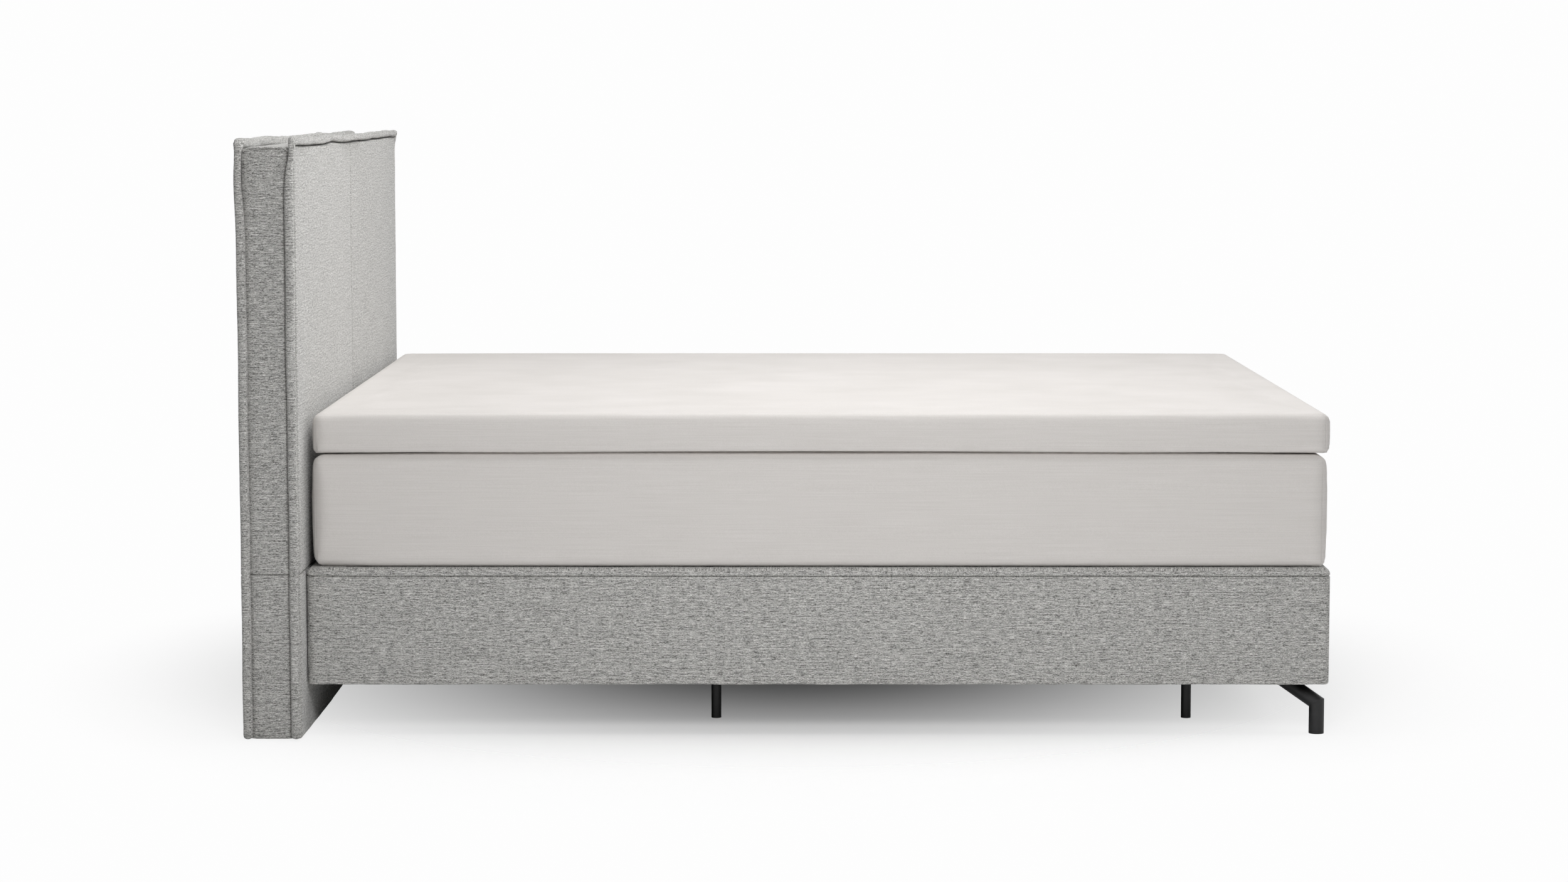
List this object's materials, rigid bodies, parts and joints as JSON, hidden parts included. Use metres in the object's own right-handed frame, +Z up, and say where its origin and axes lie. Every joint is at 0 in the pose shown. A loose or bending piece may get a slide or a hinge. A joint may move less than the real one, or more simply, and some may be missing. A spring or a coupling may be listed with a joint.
{
  "type": "box spring bed",
  "caption": "Double box spring bed: upholstered headboard on the floor, sprung base on legs and posts, pocket spring mattress and foam topper that lift off.",
  "frame": {"origin": "on the floor, in the middle of the bed's overall length and width", "axes": "+X from the headboard to the foot, +Y to the right side as the sleeper lies on the back, +Z up"},
  "size_m": [2.135, 1.76, 1.174],
  "materials": {
    "grey melange upholstery": "matte",
    "pale knit ticking": "matte",
    "upholstery foam": "matte",
    "spring pocket nonwoven": "matte",
    "needled felt": "matte",
    "softwood": "matte",
    "fibreboard": "matte",
    "black powder coated steel": "satin",
    "zinc plated steel": "satin",
    "black polypropylene": "matte",
    "black nonwoven": "matte"
  },
  "bodies": {
    "bed": {"headboard_post_left": "softwood", "headboard_post_right": "softwood", "headboard_stiles": "softwood", "headboard_top_rail": "softwood", "headboard_middle_rail": "softwood", "headboard_fixing_rail": "softwood", "headboard_floor_rail": "softwood", "headboard_front_board": "fibreboard", "headboard_back_board": "fibreboard", "headboard_front_foam": "upholstery foam", "headboard_cover_front_left": "grey melange upholstery", "headboard_cover_front_right": "grey melange upholstery", "headboard_cover_front_lower": "grey melange upholstery", "headboard_side_foam": "upholstery foam", "headboard_top_foam": "upholstery foam", "headboard_cover_side_left": "grey melange upholstery", "headboard_cover_side_right": "grey melange upholstery", "headboard_cover_side_lower": "grey melange upholstery", "headboard_cover_top": "grey melange upholstery", "headboard_back_wadding": "needled felt", "headboard_cover_back": "grey melange upholstery", "headboard_welt_front": "grey melange upholstery", "headboard_welt_back": "grey melange upholstery", "headboard_glides": "black polypropylene", "headboard_bolts": "zinc plated steel", "headboard_washers": "zinc plated steel", "base_rail_left": "softwood", "base_rail_right": "softwood", "base_rail_head": "softwood", "base_rail_foot": "softwood", "base_cross_rails": "softwood", "base_centre_rails": "softwood", "base_corner_blocks": "softwood", "base_deck_board": "fibreboard", "base_side_foam": "upholstery foam", "base_edge_foam": "upholstery foam", "base_spring_strings": "spring pocket nonwoven", "base_spring_felt": "needled felt", "base_top_foam": "upholstery foam", "base_cover_side": "grey melange upholstery", "base_cover_top": "grey melange upholstery", "base_dust_cover": "black nonwoven", "base_threaded_inserts": "zinc plated steel", "support_post_tubes": "black powder coated steel", "support_post_studs": "zinc plated steel", "support_post_glides": "black polypropylene", "corner_leg_plates": "black powder coated steel", "corner_leg_struts": "black powder coated steel", "corner_leg_foot_tubes": "black powder coated steel", "corner_leg_glides": "black polypropylene", "corner_leg_screws": "zinc plated steel"},
    "mattress": {"mattress_foam_bottom": "upholstery foam", "mattress_edge_foam": "upholstery foam", "mattress_spring_strings": "spring pocket nonwoven", "mattress_foam_top": "upholstery foam", "mattress_cover": "pale knit ticking", "mattress_cover_underside": "pale knit ticking"},
    "topper": {"topper_foam": "upholstery foam", "topper_cover": "pale knit ticking", "topper_cover_underside": "pale knit ticking"}
  },
  "joints": [
    {"name": "mattress_lift", "type": "slide", "parent": "bed", "child": "mattress", "axis": [0, 0, 1], "range_m": [0, 0.3]},
    {"name": "topper_lift", "type": "slide", "parent": "mattress", "child": "topper", "axis": [0, 0, 1], "range_m": [0, 0.25]}
  ]
}
